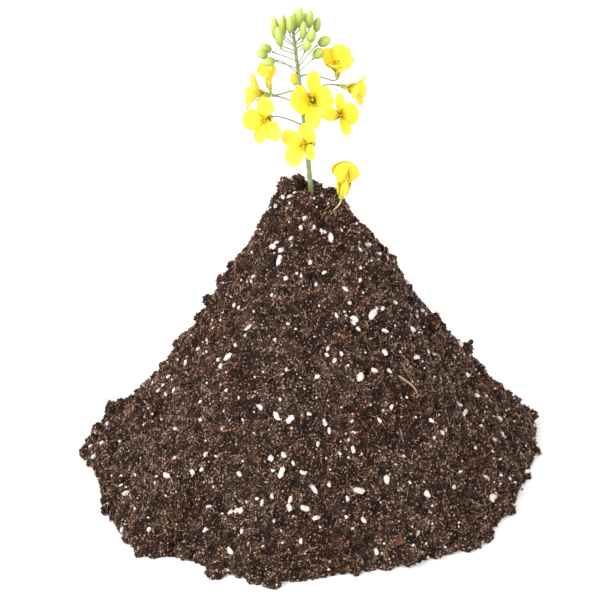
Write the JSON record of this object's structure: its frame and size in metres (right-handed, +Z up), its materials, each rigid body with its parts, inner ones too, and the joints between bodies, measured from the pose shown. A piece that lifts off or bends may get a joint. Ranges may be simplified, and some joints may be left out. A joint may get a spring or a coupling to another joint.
{
  "type": "heap of potting compost with a flowering sprig",
  "caption": "Steep cone-shaped heap of dark potting compost mixed with white perlite grains, with a yellow flowering rape sprig standing in its top and a fallen flower on the rim.",
  "frame": {"origin": "centre of the flat base of the heap, on the surface that it lies on", "axes": "+Z up, -Y towards the front of the heap as pictured, +X to the right as seen from the front"},
  "size_m": [0.1931, 0.1891, 0.1938],
  "materials": {
    "compost": "matt, coarse moist peat and bark fibre",
    "perlite": "matt, foamed white mineral grain",
    "petal": "satin, thin fresh petal",
    "bud": "satin, smooth fresh sepals",
    "stem": "satin, green plant stem with a waxy bloom",
    "bark": "matt, dry bark and wood",
    "root": "matt, dry pale root fibre"
  },
  "bodies": {
    "root": {"compost_heap": "compost", "sprig_stem": "stem", "flower_front": "petal", "flower_low": "petal", "flower_left_low": "petal", "flower_left_back": "petal", "flower_left_closed": "petal", "flower_right_high": "petal", "flower_right_back": "petal", "flower_right_low": "petal", "bud_crown_1": "bud", "bud_crown_2": "bud", "bud_crown_3": "bud", "bud_crown_4": "bud", "bud_crown_5": "bud", "bud_crown_6": "bud", "bud_crown_7": "bud", "bud_crown_8": "bud", "bud_crown_9": "bud", "bud_crown_10": "bud", "bud_crown_11": "bud", "bud_crown_12": "bud", "bud_crown_13": "bud", "bud_left_1": "bud", "bud_left_2": "bud", "bud_left_3": "bud", "bud_right_1": "bud", "bud_right_2": "bud", "bud_yellow": "petal", "fallen_flower_stalk": "stem", "fallen_flower": "petal", "perlite_1": "perlite", "perlite_2": "perlite", "perlite_3": "perlite", "perlite_4": "perlite", "perlite_5": "perlite", "perlite_6": "perlite", "perlite_7": "perlite", "perlite_8": "perlite", "perlite_9": "perlite", "perlite_10": "perlite", "perlite_11": "perlite", "perlite_12": "perlite", "perlite_13": "perlite", "perlite_14": "perlite", "perlite_15": "perlite", "perlite_16": "perlite", "perlite_17": "perlite", "perlite_18": "perlite", "perlite_19": "perlite", "perlite_20": "perlite", "perlite_21": "perlite", "perlite_22": "perlite", "perlite_23": "perlite", "perlite_24": "perlite", "bark_chip": "bark", "bark_bit": "bark", "wood_splinter": "bark", "root_fibre": "root", "twig_stub": "bark"}
  },
  "joints": []
}
